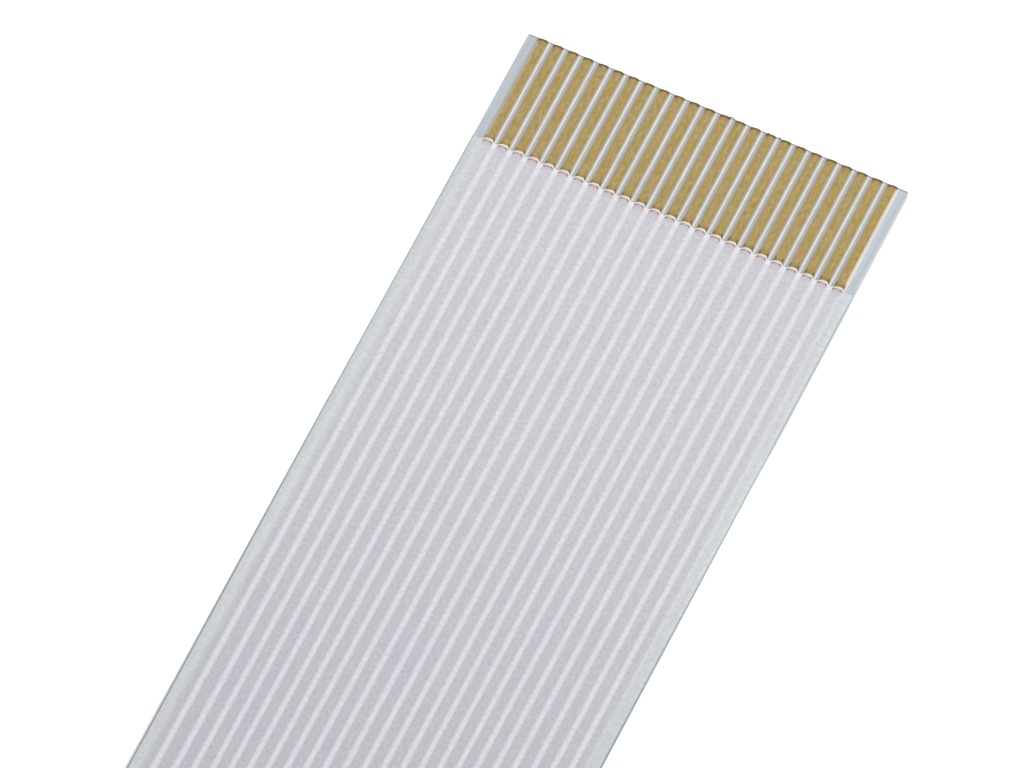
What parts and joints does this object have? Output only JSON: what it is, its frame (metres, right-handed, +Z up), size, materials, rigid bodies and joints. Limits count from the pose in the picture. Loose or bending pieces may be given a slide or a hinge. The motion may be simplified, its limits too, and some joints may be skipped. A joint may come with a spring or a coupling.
{
  "type": "ribbon cable",
  "caption": "Flat flexible ribbon cable: flat copper conductors between two clear films, with gold contacts and a support tape at both ends.",
  "frame": {"origin": "middle of the cable's length and width, on the surface that it lies on", "axes": "+X across the cable, +Y along it towards the front tip, +Z up through the contacts"},
  "size_m": [0.0126, 0.1, 0.0003],
  "materials": {
    "film": "milky polyester film, satin gloss",
    "support_tape": "pale blue-grey polyester tape, smooth",
    "conductor": "rolled copper, gold plated, satin with fine lengthwise streaks"
  },
  "bodies": {
    "root": {"upper_film": "film", "lower_film": "film", "front_support_tape": "support_tape", "rear_support_tape": "support_tape", "conductor_01": "conductor", "conductor_02": "conductor", "conductor_03": "conductor", "conductor_04": "conductor", "conductor_05": "conductor", "conductor_06": "conductor", "conductor_07": "conductor", "conductor_08": "conductor", "conductor_09": "conductor", "conductor_10": "conductor", "conductor_11": "conductor", "conductor_12": "conductor", "conductor_13": "conductor", "conductor_14": "conductor", "conductor_15": "conductor", "conductor_16": "conductor", "conductor_17": "conductor", "conductor_18": "conductor", "conductor_19": "conductor", "conductor_20": "conductor", "conductor_21": "conductor", "conductor_22": "conductor", "conductor_23": "conductor", "conductor_24": "conductor"}
  },
  "joints": []
}
